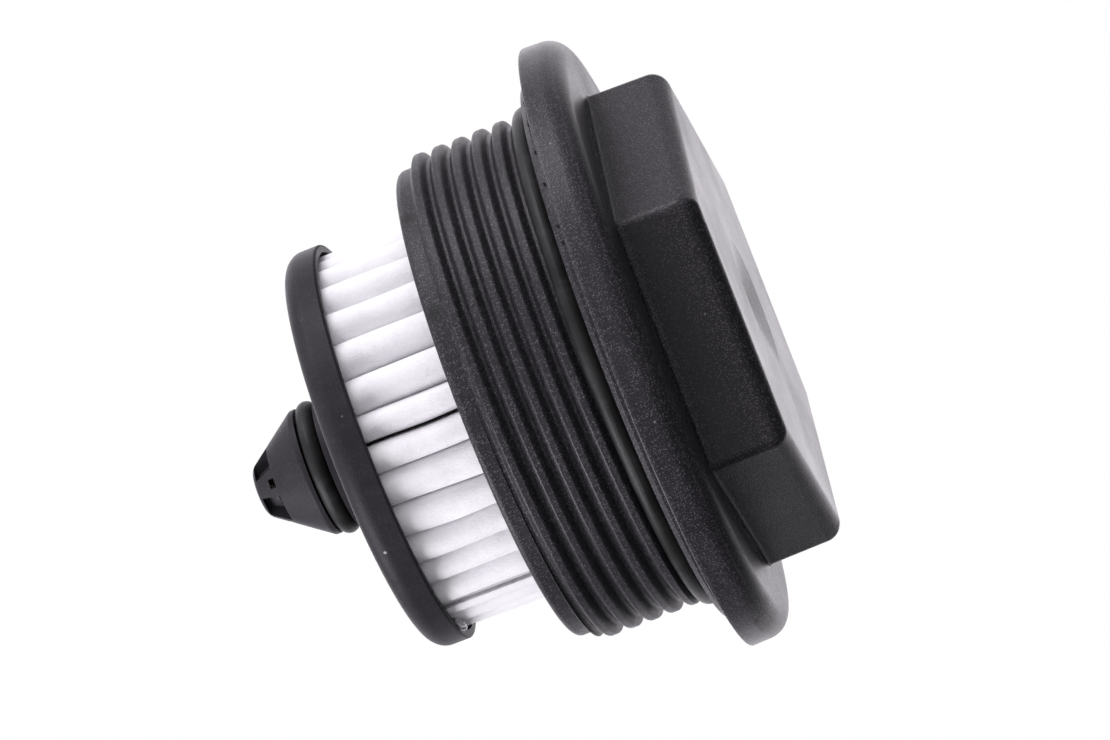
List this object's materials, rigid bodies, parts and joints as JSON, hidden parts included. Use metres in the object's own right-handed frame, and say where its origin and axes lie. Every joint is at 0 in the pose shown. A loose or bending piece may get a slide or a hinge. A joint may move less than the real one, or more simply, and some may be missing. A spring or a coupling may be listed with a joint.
{
  "type": "transmission oil filter",
  "caption": "Screw-in oil filter: black threaded cap with hexagon head, flange and seal ring, holding a white pleated cartridge with a sealed outlet spigot.",
  "frame": {"origin": "centre of the hexagon head's end face", "axes": "+Z along the thread axis from the head to the spigot's nose, +X to a corner of the hexagon"},
  "size_m": [0.0884, 0.0884, 0.074],
  "materials": {
    "cap_plastic": "fine-grained moulded black",
    "end_cap_plastic": "smooth satin black",
    "seal_rubber": "smooth black rubber",
    "filter_medium": "white fibre fleece",
    "glue": "cured translucent glue",
    "spring_steel": "drawn wire"
  },
  "bodies": {
    "cap": {"screw_cap": "cap_plastic", "cap_seal_ring": "seal_rubber"},
    "cartridge": {"upper_end_cap": "end_cap_plastic", "bypass_spring": "spring_steel", "bypass_spring_keeper": "end_cap_plastic", "lower_end_cap": "end_cap_plastic", "spigot_seal_ring": "seal_rubber", "core_tube": "end_cap_plastic", "upper_glue_bed": "glue", "lower_glue_bed": "glue", "pleated_media": "filter_medium", "seam_bead": "glue"},
    "bypass_valve": {"bypass_plug": "end_cap_plastic"}
  },
  "joints": [
    {"name": "cartridge_spin", "type": "hinge", "parent": "cap", "child": "cartridge", "pos_m": [0, 0, 0.0146], "axis": [0, 0, 1], "continuous": true},
    {"name": "bypass_valve_slide", "type": "slide", "parent": "cartridge", "child": "bypass_valve", "axis": [0, 0, 1], "range_m": [0, 0.002], "stiffness_N_per_m": 800, "springref_m": -0.01, "deforming": ["bypass_spring"]}
  ]
}
